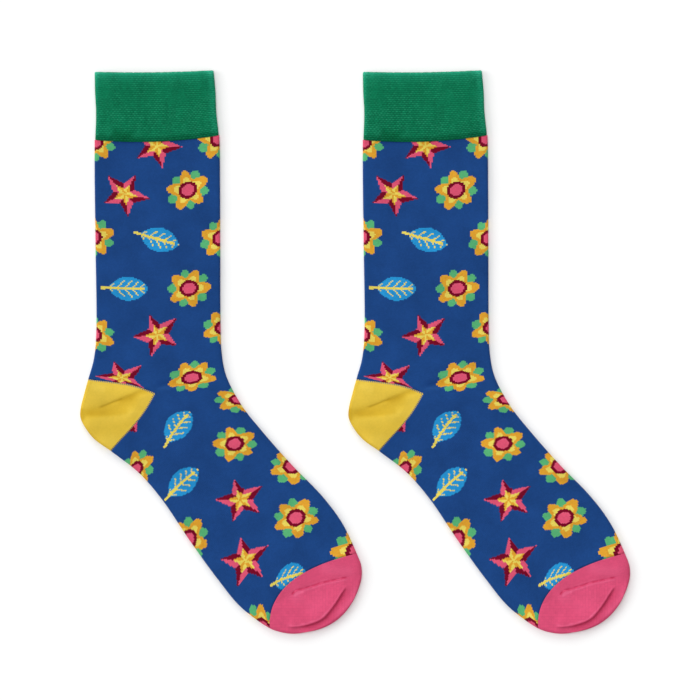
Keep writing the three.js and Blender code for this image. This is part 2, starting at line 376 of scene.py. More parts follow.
# Painted shadows in the gaps at the toe seam's darkest stitches, each with its strength
SEAM_SHADOWS = [
    (0.2, [(137.7, -366.8), (138.7, -365.7), (139.9, -364.6)]),
    (0.16, [(140.6, -363.0), (142.4, -362.9), (144.1, -362.6)]),
    (0.2, [(151.5, -360.1), (152.9, -360.1), (154.6, -359.7)]),
    (0.24, [(159.9, -358.0), (161.6, -357.8), (164.8, -356.7)]),
    (0.16, [(172.8, -355.0), (174.9, -354.8), (176.3, -354.5)]),
]
# Painted shade along the creases, folds, edges and seam of the upper layer, and painted highlights where the
# strength is negative
PAINTED_SHADE_LINES = [
    SoftLine(HEEL_CREASE, 0.15, 0.5, 0.8, 3.0),
    SoftLine(HEEL_FOLD, 0.17, 1.9, 2.2, 5.0),
    SoftLine(HEEL_TROUGH, 0.17, 4.2, 5.0, 8.0),
    SoftLine(HEEL_MITRE, -0.04, 1.4, 2.2, 6.0),
    SoftLine(HEEL_EDGE, 0.14, 1.5, 1.0, 3.0),
    SoftLine([(-9.4, -235.0), (-9.8, -240.5), (-8.8, -246.0)], 0.28, 2.2, 1.5, 2.5),
    SoftLine(HEEL_SHADOW, 0.13, 3.2, 1.8, 3.0),
    SoftLine([(-3.5, -219.0), (2.0, -221.5), (9.0, -223.0)], -0.08, 3.0, 3.5, 3.0),
    SoftLine([(1.0, -257.5), (9.0, -260.5), (17.0, -256.0)], -0.05, 4.0, 4.0, 4.0),
    SoftLine(beside(HEEL_MITRE, 2.0, -8.0), 0.05, 3.5, 5.0, 6.0),
    # Painted shadow beyond the toe's fold, a painted highlight on its lip, and painted shade and highlights
    # along the seam
    SoftLine(TOE_SHADOW, 0.14, 0.6, 1.0, 8.0),
    SoftLine(TOE_SHADOW, 0.11, 0.7, 3.6, 8.0),
    SoftLine(beside(TOE_FOLD, -0.35, 0.45), -0.1, 0.6, 0.35, 6.0),
    SoftLine([(146.2, -379.3), (155.3, -373.0), (166.5, -365.3)], -0.03, 9.0, 9.0, 6.0),
    SoftLine([(155.0, -347.0), (168.0, -350.0), (184.0, -350.5)], -0.08, 4.0, 3.5, 6.0),
    SoftLine([(185.0, -358.0), (178.5, -371.5), (166.0, -383.0)], -0.06, 2.5, 2.5, 6.0),
    SoftLine(TOE_SEAM, 0.05, 0.7, 0.6, 2.0),
    SoftLine(TOE_SEAM, 0.22, 0.5, 0.5, 2.0, 3.1),
    SoftLine(beside(TOE_SEAM, 0.4, -1.35), -0.13, 0.55, 0.8, 3.0),
    SoftLine([(139.0, -368.2), (142.2, -366.0), (147.0, -364.5)], -0.16, 0.8, 0.8, 1.5),
    SoftLine(beside(TOE_FOLD[:5], -0.6, 1.1), -0.12, 0.5, 0.5, 3.0, 4.3),
    SoftLine([(136.0, -372.0), (146.0, -366.0)], -0.05, 5.0, 5.0, 4.0),
    SoftLine(beside(TOE_SEAM, -0.35, 1.15), -0.1, 0.5, 0.5, 12.0, 6.0),
    *(SoftLine(seam_shadow, strength, 0.5, 0.5, 0.7) for strength, seam_shadow in SEAM_SHADOWS),
    # Painted highlight along the pull at the ankle, with painted shade beside it
    SoftLine(ANKLE_PULL, -0.12, 0.9, 1.1, 6.0),
    SoftLine(beside(ANKLE_PULL, -1.0, 3.2), 0.08, 2.2, 1.4, 6.0),
    # Painted shade along the cuff's lower edge, and painted highlights along its mouth and folded sides
    SoftLine(CUFF_LOW_SHADOW, 0.12, 2.2, 2.6, 1.0),
    SoftLine([(11.0, -43.5), (19.0, -45.0), (28.0, -45.5)], 0.15, 3.0, 3.0, 4.0),
    SoftLine([(-2.0, 0.0), (42.0, 0.0), (88.0, 1.0)], -0.22, 5.0, 7.0, 1.0),
    SoftLine([(-2.0, -2.1), (41.6, -2.5), (86.0, -1.0)], -0.13, 0.9, 0.9, 1.0),
    SoftLine([(0.5, 4.0), (0.8, -20.0), (0.8, -46.0)], -0.14, 2.6, 2.6, 1.0),
    SoftLine([(82.8, 4.0), (84.6, -20.0), (86.3, -44.0)], -0.17, 2.6, 4.6, 1.0),
]
WAVES = {
    Side.LEFT: [Wave(0.16, 74.0, 12.0, 0.4), Wave(0.13, 53.0, 101.0, 1.9), Wave(0.07, 31.0, 57.0, 2.6)],
    Side.RIGHT: [Wave(0.16, 79.0, 8.0, 1.7), Wave(0.13, 49.0, 96.0, 0.3), Wave(0.07, 33.0, 126.0, 4.1)],
}


@dataclass(frozen=True)
class Relief:
    """Everything that lifts or lowers the upper layer of one sock, and the painted shade and highlights on
    it.
    """

    side: Side
    # Height above which the painted shade and highlights take full effect
    full_painted_shade_height: float = 2.0

    def at(self, plan: np.ndarray) -> np.ndarray:
        """Returns the height over a dead flat layer at each place."""
        return sum(part.at(plan) for part in [*CREASES, *WAVES[self.side]])

    def tone(self, places: np.ndarray) -> np.ndarray:
        """Returns the painted shade at each place of the upper layer, negative where a highlight is painted.
        """
        upper = smooth_step(places[..., 2] / self.full_painted_shade_height)
        return upper * sum(part.at(places[..., :2]) for part in PAINTED_SHADE_LINES)


class Row(Enum):
    """Rows of the outline where one knitted piece ends or turns."""

    MOUTH = 0
    CUFF_SEAM = 2
    HEEL_CORNER = 7
    TOE_SEAM = 13
    END = 17


# Back edge, middle and front edge of each row, from the mouth of the cuff to the end of the toe
SECTIONS = [
    ((0.0, -1.0), (41.6, -1.35), (83.2, 0.1)),
    ((0.3, -20.3), (42.5, -20.9), (85.0, -19.6)),
    ((0.0, -48.6), (43.2, -49.8), (87.2, -45.4)),
    ((0.0, -74.9), (43.8, -76.0), (87.6, -72.8)),
    ((0.65, -125.3), (44.4, -126.3), (87.8, -123.2)),
    ((1.1, -184.1), (44.4, -186.2), (88.1, -180.6)),
    ((-0.6, -202.0), (43.4, -207.0), (88.8, -197.4)),
    ((-4.5, -215.9), (42.5, -225.9), (92.0, -213.5)),
    ((31.0, -281.5), (62.3, -251.2), (102.8, -234.2)),
    ((47.5, -300.6), (79.8, -273.2), (117.2, -252.5)),
    ((66.3, -328.5), (100.6, -299.6), (137.8, -275.8)),
    ((86.0, -355.7), (119.3, -322.4), (159.5, -298.2)),
    ((102.1, -375.2), (131.6, -338.2), (173.3, -316.9)),
    ((122.5, -390.2), (136.5, -358.4), (183.3, -337.8)),
    ((129.8, -392.8), (144.5, -364.7), (186.5, -346.5)),
    ((137.4, -394.0), (153.6, -372.4), (186.8, -354.2)),
    ((143.1, -393.8), (161.7, -380.2), (184.5, -363.0)),
    ((147.3, -393.0), (167.5, -385.9), (181.4, -370.0)),
]
HEEL_BOW_LEG = 2.2
HEEL_BOW_FOOT = -2.1
# Where the lowest x of the frame's heels lies in a sock's own plan
HEEL_REACH = -10.717


class Tube:
    """Leg or foot of the flattened sock: three rails, and the bow of the heel's seam."""

    def __init__(self, back: Rail, bow: float) -> None:
        """Shares the middle and front rails with the other tube.

        Args:
            back: Rail of the back edge or sole.
            bow: How far the heel's seam bows out on this tube.
        """
        self.back = back
        self.mid = Rail([row[1] for row in SECTIONS])
        self.front = Rail([row[2] for row in SECTIONS])
        self.bow = bow
        fine = np.linspace(0.0, Row.END.value, ROW_STEPS * Row.END.value + 1)
        steps = np.linalg.norm(np.diff(self.mid.at(fine), axis=0), axis=1)
        self.fine_rows = fine
        self.fine_lengths = np.concatenate([[0.0], np.cumsum(steps)])

    def plan(self, rows: np.ndarray, shares: np.ndarray) -> np.ndarray:
        """Reads the surface in plan.

        Args:
            rows: Row numbers.
            shares: Places across the flat tube, 0 at its back and 1 at its front.

        Returns:
            A point for each pair of row and share.
        """
        rows, shares = np.broadcast_arrays(rows, shares)
        back, mid, front = (rail.at(rows) for rail in (self.back, self.mid, self.front))
        s = shares[..., None]
        bowed = back * (1 - s) * (1 - 2 * s) + mid * 4 * s * (1 - s) + front * s * (2 * s - 1)
        straight = mid + (front - mid) * (2 * s - 1)
        cornered = np.where(s < 0.5, bowed_line(back, mid, 2 * s, self.bow), straight)
        corner = np.maximum(0.0, 1.0 - np.abs(rows - Row.HEEL_CORNER.value))[..., None] ** 2
        return bowed + (cornered - bowed) * corner

    def half_lengths(self, rows: np.ndarray) -> tuple[np.ndarray, np.ndarray]:
        """Returns the lengths of the back half and the front half of each row."""
        shares = np.linspace(0.0, 1.0, 2 * HALF_STEPS + 1)
        line = self.plan(rows[..., None], shares)
        steps = np.linalg.norm(np.diff(line, axis=-2), axis=-1)
        return steps[..., :HALF_STEPS].sum(axis=-1), steps[..., HALF_STEPS:].sum(axis=-1)

    def length_to(self, row: float | np.ndarray) -> np.ndarray:
        """Returns the length along the middle from the mouth to a row."""
        return np.interp(row, self.fine_rows, self.fine_lengths)

    def row_at(self, length: float | np.ndarray) -> np.ndarray:
        """Returns the row at a length along the middle."""
        return np.interp(length, self.fine_lengths, self.fine_rows)

    def rows(self, start: float, end: float, step: float) -> np.ndarray:
        """Returns rows from one to another, about a step apart along the middle."""
        lengths = self.length_to(np.array([start, end]))
        count = max(2, round(float(lengths[1] - lengths[0]) / step) + 1)
        return self.row_at(np.linspace(lengths[0], lengths[1], count))


def leg_tube() -> Tube:
    """Returns the tube from the mouth to the heel's upper seam."""
    return Tube(Rail([row[0] for row in SECTIONS[: Row.HEEL_CORNER.value + 1]]), HEEL_BOW_LEG)


def foot_tube() -> Tube:
    """Returns the tube from the heel's lower seam to the end of the toe."""
    first = Row.HEEL_CORNER.value
    back = [HEEL_EDGE[-1], *[row[0] for row in SECTIONS[first + 1 :]]]
    return Tube(Rail(back, first), HEEL_BOW_FOOT)


class Ring:
    """Stations once round a flat tube, from the middle of its lower layer over the back fold."""

    def __init__(self, flat_steps: int, fold_steps: int) -> None:
        """Lays out the stations.

        Args:
            flat_steps: Steps across one flat layer, an even number.
            fold_steps: Steps round one folded edge.
        """
        half = flat_steps // 2
        across = np.arange(flat_steps + 1) / flat_steps
        turn = np.radians(np.linspace(-90.0, 90.0, fold_steps + 1))[1:]
        parts = [
            (across[half::-1], np.zeros(half + 1), -np.ones(half + 1)),
            (np.zeros(fold_steps), -np.cos(turn), np.sin(turn)),
            (across[1:], np.zeros(flat_steps), np.ones(flat_steps)),
            (np.ones(fold_steps), np.cos(turn), -np.sin(turn)),
            (across[-2 : half - 1 : -1], np.zeros(half), -np.ones(half)),
        ]
        self.share, self.out, self.lift = (np.concatenate(part) for part in zip(*parts))
        flat_wales = (WALES_ROUND - 2.0 * FOLD_WALES) / 2.0 / flat_steps
        fold_wales = FOLD_WALES / fold_steps
        runs = [(half, flat_wales), (fold_steps, fold_wales), (flat_steps, flat_wales)]
        runs += [(fold_steps, fold_wales), (half, flat_wales)]
        steps = np.concatenate([np.full(count, size) for count, size in runs])
        self.wales = np.concatenate([[0.0], np.cumsum(steps)])
        self.puff = smooth_step(np.minimum(self.share, 1.0 - self.share) / PUFF_MARGIN)
        self.back_half = half + fold_steps + half + 1

    def places(
        self,
        tube: Tube,
        relief: Relief,
        rows: np.ndarray,
        height: Any,
        depth: Any = 0.0,
        close: Any = 1.0,
        puff: Any = 0.0,
        pull: Any = 0.0,
    ) -> np.ndarray:
        """Wraps the ring round rows of a tube.

        Args:
            tube: Leg or foot.
            relief: Folds of the upper layer.
            rows: Row numbers, one for each line or one for each station of each line.
            height: Height of the two layers together, for each line.
            depth: How deep in the cloth the surface lies, for each line.
            close: 1 for an open ring, and 0 where the toe has drawn it shut, for each line.
            puff: How far the middle of the upper layer stands above the folds, for each line.
            pull: How far the two folds are drawn in, for each line.

        Returns:
            A place in millimetres for each row and station.
        """
        lines = rows[:, :1] if rows.ndim == 2 else rows[:, None]
        rows = rows if rows.ndim == 2 else lines
        each_line = (height, depth, close, puff, pull)
        columns = (np.reshape(np.asarray(value, dtype=float), (-1, 1)) for value in each_line)
        height, depth, close, puff, pull = columns
        radius = (height / 2.0 - depth) * close
        back, front = (0.5 / half for half in tube.half_lengths(lines))
        inset = depth + radius + pull
        low, high = inset * back, inset * front
        behind = low + (0.5 - low) * 2.0 * self.share + self.out * radius * back
        ahead = 0.5 + (0.5 - high) * (2.0 * self.share - 1.0) + self.out * radius * front
        plan = tube.plan(rows, np.where(self.share < 0.5, behind, ahead))
        rise = np.maximum(0.0, self.lift) * (relief.at(plan) * close + self.puff * puff)
        z = height / 2.0 + self.lift * radius + rise
        return np.concatenate([plan, z[..., None]], axis=-1)


# Meshes


def put_in_scene(mesh: bmesh.types.BMesh, name: str) -> bpy.types.Object:
    """Writes a finished mesh, shaded smooth, to a new object in the scene.

    Args:
        mesh: The finished mesh, which is freed.
        name: Name of the object.

    Returns:
        The new object.
    """
    for face in mesh.faces:
        face.smooth = True
    data = bpy.data.meshes.new(name)
    mesh.to_mesh(data)
    mesh.free()
    made = bpy.data.objects.new(name, data)
    bpy.context.collection.objects.link(made)
    return made


@dataclass
class Patch:
    """A sheet of stitches: places of its grid, one or more layouts of its wales and courses, and the painted
    shade and highlights at its corners.

    Where there is more than one layout, `layout` says which one each face takes.
    """

    places: np.ndarray
    stitches: list[np.ndarray]
    painted_shading: np.ndarray
    layout: np.ndarray | None = None


class KnitSheet:
    """A piece of knitting in the making, out of one or more patches that share their edges."""

    def __init__(self, origin: Vector) -> None:
        """Starts an empty sheet.

        Args:
            origin: Where the sock's own zero lies in the frame, in millimetres.
        """
        self.origin = origin
        self.mesh = bmesh.new()
        self.stitch_map = self.mesh.loops.layers.uv.new(STITCH_MAP)
        self.painted_shade_map = self.mesh.verts.layers.float.new(PAINTED_SHADE_MAP)

    def add(self, patch: Patch) -> None:
        """Makes a grid and moves its corners to the patch's places."""
        lines, stations = patch.places.shape[:2]
        made = bmesh.ops.create_grid(self.mesh, x_segments=stations - 1, y_segments=lines - 1, size=0.5)
        cells = {}
        for vert in made["verts"]:
            line = round((0.5 - vert.co.y) * (lines - 1))
            station = round((vert.co.x + 0.5) * (stations - 1))
            cells[vert] = (line, station)
        faces = {face for vert in made["verts"] for face in vert.link_faces}
        for face in faces:
            corner = min(cells[vert] for vert in face.verts)
            layout = 0 if patch.layout is None else int(patch.layout[corner])
            stitches = patch.stitches[layout]
            for loop in face.loops:
                loop[self.stitch_map].uv = stitches[cells[loop.vert]]
        places = (patch.places + np.array(self.origin)) * MM
        for vert, cell in cells.items():
            vert.co = places[cell]
            vert[self.painted_shade_map] = float(patch.painted_shading[cell])

    def close(self, bridge_rim: bool) -> None:
        """Joins the patches, and the two open rims if asked, and turns every face outwards."""
        bmesh.ops.remove_doubles(self.mesh, verts=self.mesh.verts, dist=WELD)
        if bridge_rim:
            rims = [edge for edge in self.mesh.edges if edge.is_boundary]
            bmesh.ops.bridge_loops(self.mesh, edges=rims)
        bmesh.ops.recalc_face_normals(self.mesh, faces=self.mesh.faces)
        top = max(self.mesh.faces, key=lambda face: face.calc_center_median().z)
        if top.normal.z < 0.0:
            bmesh.ops.reverse_faces(self.mesh, faces=self.mesh.faces)

    def area(self) -> float:
        """Returns the area of the sheet in square metres."""
        return sum(face.calc_area() for face in self.mesh.faces)

    def piece(self, name: str, wall: float) -> bpy.types.Object:
        """Writes the sheet to an object, with a wall on its inner side.

        Args:
            name: Name of the object.
            wall: Thickness of the cloth in millimetres, or 0 for a sheet that is already closed.

        Returns:
            The new object, linked to the scene.
        """
        piece = put_in_scene(self.mesh, name)
        if wall > 0.0:
            cloth = piece.modifiers.new("Cloth", "SOLIDIFY")
            cloth.thickness = wall * MM
            cloth.offset = -1.0
        return piece


# Shader expressions


def math_node(operation: str, reflected: bool = False) -> Callable[["Wire", "Wire | float"], "Wire"]:
    """Makes an operator of Wire that adds one Math node.

    Args:
        operation: What the node does.
        reflected: Whether the other value comes first.

    Returns:
        The operator.
    """

    def apply(wire: "Wire", other: "Wire | float") -> "Wire":
        """Returns the result of the new node."""
        values = (other, wire) if reflected else (wire, other)
        return wire.bench.math(operation, *values)

    return apply


class Wire:
    """A value on its way through a material. Its operators add Math nodes."""

    def __init__(self, bench: "Bench", socket: bpy.types.NodeSocket) -> None:
        """Keeps the socket and the bench that it belongs to."""
        self.bench = bench
        self.socket = socket

    __add__ = __radd__ = math_node("ADD")
    __sub__, __rsub__ = math_node("SUBTRACT"), math_node("SUBTRACT", reflected=True)
    __mul__ = __rmul__ = math_node("MULTIPLY")
    __truediv__, __rtruediv__ = math_node("DIVIDE"), math_node("DIVIDE", reflected=True)
    __mod__, __rmod__ = math_node("FLOORED_MODULO"), math_node("FLOORED_MODULO", reflected=True)
    __pow__, __rpow__ = math_node("POWER"), math_node("POWER", reflected=True)
    __lt__, __gt__ = math_node("LESS_THAN"), math_node("GREATER_THAN")

    def __abs__(self) -> "Wire":
        """Returns the size without its sign."""
        return self.does("ABSOLUTE")

    def does(self, operation: str) -> "Wire":
        """Returns the result of a Math operation that takes one value."""
        return self.bench.math(operation, self)


class Bench:
    """Where one material's nodes are made and joined."""

    def __init__(self, name: str) -> None:
        """Starts an empty material."""
        self.material = bpy.data.materials.new(name)
        self.material.use_nodes = True
        self.tree = self.material.node_tree
        self.tree.nodes.clear()

    def node(self, kind: str, settings: dict[str, Any], values: dict[str, Any]) -> bpy.types.Node:
        """Makes one node.

        Args:
            kind: The node's type.
            settings: Properties of the node, set before its sockets.
            values: Values or wires for its input sockets, by socket identifier.

        Returns:
            The node.
        """
        made = self.tree.nodes.new(kind)
        for name, setting in settings.items():
            setattr(made, name, setting)
        sockets = {socket.identifier: socket for socket in made.inputs}
        for name, value in values.items():
            if isinstance(value, Wire):
                self.tree.links.new(value.socket, sockets[name])
            else:
                sockets[name].default_value = value
        return made

    def wire(self, node: bpy.types.Node, output: str) -> Wire:
        """Returns the wire that leaves a node's output."""
        return Wire(self, next(socket for socket in node.outputs if socket.identifier == output))

    def math(self, operation: str, *values: Wire | float) -> Wire:
        """Returns the result of one Math node."""
        names = ("Value", "Value_001", "Value_002")
        node = self.node("ShaderNodeMath", {"operation": operation}, dict(zip(names, values)))
        return self.wire(node, "Value")

    def ease(self, value: Wire, low: float, high: float) -> Wire:
        """Returns 0 to 1 as the value goes smoothly from low to high."""
        limits = {"Value": value, "From Min": low, "From Max": high}
        step = self.node("ShaderNodeMapRange", {"interpolation_type": "SMOOTHSTEP"}, limits)
        return self.wire(step, "Result")

    def mix(self, share: Wire | float, first: Wire | Colour, second: Wire | Colour) -> Wire:
        """Returns a colour between two colours."""
        parts = {}
        for name, part in (("A_Color", first), ("B_Color", second)):
            parts[name] = part if isinstance(part, Wire) else (*part, 1.0)
        node = self.node("ShaderNodeMix", {"data_type": "RGBA"}, {"Factor_Float": share, **parts})
        return self.wire(node, "Result_Color")

    def shade(self, colour: Wire | Colour, factor: Wire) -> Wire:
        """Returns a colour made darker or lighter by a factor."""
        vector = colour if isinstance(colour, Wire) else Vector(colour)
        values = {"Vector": vector, "Scale": factor}
        scaled = self.node("ShaderNodeVectorMath", {"operation": "SCALE"}, values)
        return self.wire(scaled, "Vector")

    def stitches(self) -> tuple[Wire, Wire]:
        """Returns the wale and the course of the place being shaded."""
        place = self.wire(self.node("ShaderNodeUVMap", {"uv_map": STITCH_MAP}, {}), "UV")
        split = self.node("ShaderNodeSeparateXYZ", {}, {"Vector": place})
        return self.wire(split, "X"), self.wire(split, "Y")

    def noise(self, place: Wire, scale: float, detail: float = 2.0) -> Wire:
        """Returns soft noise from 0 to 1."""
        values = {"Vector": place, "Scale": scale, "Detail": detail}
        return self.wire(self.node("ShaderNodeTexNoise", {}, values), "Fac")

    def place(self) -> Wire:
        """Returns the place in the frame, in metres."""
        return self.wire(self.node("ShaderNodeTexCoord", {}, {}), "Object")

    def grain(self, wale: Wire, course: Wire) -> Wire:
        """Returns a random value for each stitch."""
        cell = self.wire(self.node("ShaderNodeCombineXYZ", {}, {"X": wale, "Y": course}), "Vector")
        speck = self.node("ShaderNodeTexWhiteNoise", {"noise_dimensions": "2D"}, {"Vector": cell})
        return self.wire(speck, "Value")

    def cloth(self, colour: Wire, relief: Wire, depth: float, roughness: float, sheen: float = 0.05) -> None:
        """Joins colour and relief to a cloth shader.

        Args:
            colour: Colour of the cloth.
            relief: Height of its surface, from 0 to 1.
            depth: Millimetres from the lowest to the highest place.
            roughness: How dull it is.
            sheen: How much the fibre ends catch the light.
        """
        bump = self.node("ShaderNodeBump", {}, {"Height": relief, "Distance": depth * MM, "Strength": 1.0})
        values = {
            "Base Color": colour,
            "Roughness": roughness,
            "Normal": self.wire(bump, "Normal"),
            "Specular IOR Level": 0.05,
            "Sheen Weight": sheen,
            "Sheen Roughness": 0.3,
        }
        shader = self.node("ShaderNodeBsdfPrincipled", {}, values)
        self.node("ShaderNodeOutputMaterial", {}, {"Surface": self.wire(shader, "BSDF")})


# Finishes


def plain_stitch(wale: Wire, course: Wire) -> Wire:
    """Shapes the two slanting legs of each knitted stitch.

    Args:
        wale: Number of wales along the knitting.
        course: Number of courses down the knitting.

    Returns:
        Height of the yarn, from 0 in the gaps to 1 on the legs.
    """
    from_middle = abs(wale % 1.0 - 0.5)
    leg = abs((from_middle * 4.0 % 2.0) - 1.0)
    slant = (course + from_middle * 1.5) % 1.0
    strand = (slant * math.pi).does("SINE")
    return (1.0 - leg * leg * 0.75) * (strand * 0.7 + 0.3)


@dataclass(frozen=True)
class PlainKnit:
    """Plain stitches in one yarn."""

    name: str
    yarn: Yarn
    depth: float = 0.16
    # Painted shade in the gaps between the stitches
    groove: float = 0.16
    mottle: float = 0.09
    patchy: float = 0.3
    # Painted shade in the gaps between the wales, and painted light on their middles
    wale_gap_shade: float = 0.0
    edging: Yarn | None = None

    def material(self) -> bpy.types.Material:
        """Returns the finish as a material."""
        bench = Bench(self.name)
        wale, course = bench.stitches()
        height = plain_stitch(wale, course)
        # Painted shade between the wales and painted light on their middles
        gap = bench.ease(abs(wale % 1.0 - 0.5), 0.22, 0.5)
        yarn = bench.shade(self.yarn.colour(), 1.0 + self.wale_gap_shade * 0.45 - gap * self.wale_gap_shade)
        if self.edging is not None:
            tooth = (course < 1.0) * ((wale * 0.8) % 1.0 < 0.42)
            yarn = bench.mix(tooth, yarn, self.edging.colour())
        colour = dyed(bench, yarn, wale, course, height, self.groove, self.mottle, self.patchy)
        bench.cloth(colour, height, self.depth, YARN_ROUGHNESS)
        return bench.material


def dyed(
    bench: Bench,
    colour: Wire,
    wale: Wire,
    course: Wire,
    height: Wire,
    groove: float,
    mottle: float,
    patchy: float,
) -> Wire:
    """Makes a flat yarn colour uneven, and paints shade and highlights into it.

    Args:
        bench: Material in the making.
        colour: Colour of the yarn.
        wale: Number of wales along the knitting.
        course: Number of courses down the knitting.
        height: Height of the yarn from 0 to 1.
        groove: How much painted shade darkens the gaps between the stitches, with painted light on the
            yarn's legs.
        mottle: How far stitches differ from each other.
        patchy: How far larger places differ from each other.

    Returns:
        The colour of the cloth.
    """
    stitch = bench.grain(wale.does("FLOOR"), course.does("FLOOR"))
    cloud = bench.noise(bench.place(), 60.0)
    # Painted shade and highlights of the upper layer: deeper and darker where the attribute is positive,
    # paler where it is negative
    tone = bench.wire(bench.node("ShaderNodeAttribute", {"attribute_name": PAINTED_SHADE_MAP}, {}), "Fac")
    painted_shade_colour = bench.node("ShaderNodeGamma", {}, {"Color": colour, "Gamma": tone * 0.85 + 1.0})
    # Painted shade in the gaps between the stitches and painted light on the yarn's legs, with random tone
    # for each stitch and over larger places
    shade = 1.0 - groove + height * (groove * 1.3) + (stitch - 0.5) * mottle + (cloud - 0.5) * patchy
    return bench.shade(bench.wire(painted_shade_colour, "Color"), shade * (1.0 - tone * 0.5))


@dataclass(frozen=True)
class CuffKnit:
    """Close ribs over laid-in elastic: fine lines round the cuff, with flecks of the yarn between, and
    painted shade in the gaps between the lines and in the holes between the flecks.
    """

    name: str = "cuff_green_knit"
    line: float = 1.4
    fleck: float = 2.43
    depth: float = 0.24

    def material(self) -> bpy.types.Material:
        """Returns the finish as a material."""
        bench = Bench(self.name)
        wale, course = bench.stitches()
        place = bench.place()
        patch = bench.ease(bench.noise(place, 70.0), 0.42, 0.58)
        clear = patch * 0.45 + bench.ease(0.0 - course, 14.0, 44.0) * 0.55
        down = course * (COURSE / self.line) + bench.noise(place, 150.0) * 0.5
        row = down.does("FLOOR")
        across = wale * (WALE / self.fleck) + row % 2.0 * 0.5 + bench.noise(place, 120.0) * 0.9
        line = 0.5 - (down * (2.0 * math.pi)).does("COSINE") * 0.5
        fleck = 0.5 - (across * (2.0 * math.pi)).does("COSINE") * 0.5
        chance = bench.grain(across.does("FLOOR"), row)
        strip = bench.grain((wale * 0.42).does("FLOOR"), (course * 0.13).does("FLOOR"))
        rib = plain_stitch(wale, course)
        height = line * 0.5 + fleck * line * (clear * 0.4 + 0.1) + rib * 0.1
        # Painted shade in the gaps between the lines, mixed towards CUFF_SHADE
        cover = line * (clear * 0.35 + 0.4) + 0.25
        cloth = bench.mix(cover, Yarn.CUFF_SHADE.colour(), Yarn.CUFF_GREEN.colour())
        flecked = bench.mix(fleck * line * chance * (clear * 0.45 + 0.1), cloth, Yarn.CUFF_FLECK.colour())
        # Painted shade in the holes between the flecks
        hole_shade = (1.0 - fleck) * (1.0 - chance * 0.6) * (clear * 0.8 + 0.2)
        shaded = bench.shade(flecked, 1.05 + strip * 0.12 - hole_shade * 0.34)
        colour = dyed(bench, shaded, wale, course, rib, groove=0.05, mottle=0.2, patchy=0.34)
        bench.cloth(colour, height, self.depth, roughness=0.93)
        return bench.material


@dataclass(frozen=True)
class MotifKnit:
    """Jacquard: rows of flowers, leaves and stars, each drawn stitch by stitch on a blue ground."""

    name: str = "patterned_knit"
    wales_apart: int = 42
    courses_apart: int = 42
    tilt: float = 0.5
    wander: float = 1.3
    scale: float = 1.2
    points: float = 5.0
    star_tip: float = 13.0
    star_notch: float = 6.0
    leaf_width: float = 7.0
    vein_gap: float = 4.4
    depth: float = 0.15

    def material(self) -> bpy.types.Material:
        """Returns the finish as a material."""
        bench = Bench(self.name)
        wale, course = bench.stitches()
        height = plain_stitch(wale, course)
        pattern = self.pattern(bench, wale, course)
        colour = dyed(bench, pattern, wale, course, height, groove=0.14, mottle=0.11, patchy=0.45)
        bench.cloth(colour, height, self.depth, YARN_ROUGHNESS)
        return bench.material

    def pattern(self, bench: Bench, wale: Wire, course: Wire) -> Wire:
        """Draws the motifs on the ground.

        Args:
            bench: Material in the making.
            wale: Number of wales along the knitting.
            course: Number of courses down the knitting.

        Returns:
            Colour of the yarn that each stitch is knitted in.
        """
        down = course.does("FLOOR") + 0.5
        row = (down / self.courses_apart).does("FLOOR")
        across = wale.does("FLOOR") + 0.5 + row % 2.0 * (self.wales_apart / 2.0)
        column = (across / self.wales_apart).does("FLOOR") % 4.0
        kind = (column + row) % 4.0
        turn = column * 1.9 + row * 2.3
        x = (across % self.wales_apart - self.wales_apart / 2.0) * WALE + turn.does("SINE") * self.wander
        above_middle = self.courses_apart / 2.0 - down % self.courses_apart
        y = above_middle * COURSE + turn.does("COSINE") * self.wander
        angle = (turn * 1.7).does("SINE") * self.tilt
        cosine, sine = angle.does("COSINE"), angle.does("SINE")
        along, up = (x * cosine + y * sine) / self.scale, (y * cosine - x * sine) / self.scale
        reach = (along * along * 0.78 + up * up).does("SQRT")
        heading = bench.math("ARCTAN2", up, along)

        is_leaf = bench.math("COMPARE", kind, 1.0, 0.25)
        is_star = bench.math("COMPARE", kind, 3.0, 0.25)
        is_flower = 1.0 - is_leaf - is_star

        lobes = (heading * self.points).does("COSINE")
        petals = is_flower * (reach < lobes * 2.5 + 8.7)
        sepals = is_flower * (reach < lobes * -2.6 + 8.6)
        disc = is_flower * (reach < lobes * 1.5 + 6.0)
        ring = is_flower * (reach < 4.9)
        eye = is_flower * (reach < 3.2)

        leaf_width = bench.math("MAXIMUM", 1.0 - along * along / 132.0, 0.0) ** 0.8 * self.leaf_width
        side = abs(up)
        blade = is_leaf * (side < leaf_width)
        veins = (abs((along - side * 0.9) / self.vein_gap % 1.0 - 0.5) < 0.1) * (side < leaf_width * 0.72)
        rib = (side < 0.75) * (along < 9.0) * (along > -15.5)
        veining = is_leaf * bench.math("MAXIMUM", veins, rib)

        sector = (heading * (self.points / (2.0 * math.pi)) + 0.25) % 1.0 - 0.5
        fold = abs(sector) * (2.0 * math.pi / self.points)
        near_tip = (math.pi / self.points - fold).does("SINE") / self.star_tip
        near_notch = fold.does("SINE") / self.star_notch
        edge = reach * (near_tip + near_notch)
        rim = math.sin(math.pi / self.points)
        point = is_star * (edge < rim)
        heart = is_star * (edge < 0.5 * rim)
        lit = sector > 0.0

        colour = bench.mix(sepals, Yarn.GROUND_BLUE.colour(), Yarn.LEAF_GREEN.colour())
        layers = [
            (petals, Yarn.GOLD),
            (disc, Yarn.PALE_YELLOW),
            (ring, Yarn.MAROON),
            (eye, Yarn.ROSE),
            (blade, Yarn.SKY),
            (veining, Yarn.PALE_YELLOW),
            (point, Yarn.MAROON),
            (point * lit, Yarn.ROSE),
            (heart, Yarn.GOLD),
            (heart * lit, Yarn.PALE_YELLOW),
        ]
        for shape, yarn in layers:
            colour = bench.mix(shape, colour, yarn.colour())
        return colour


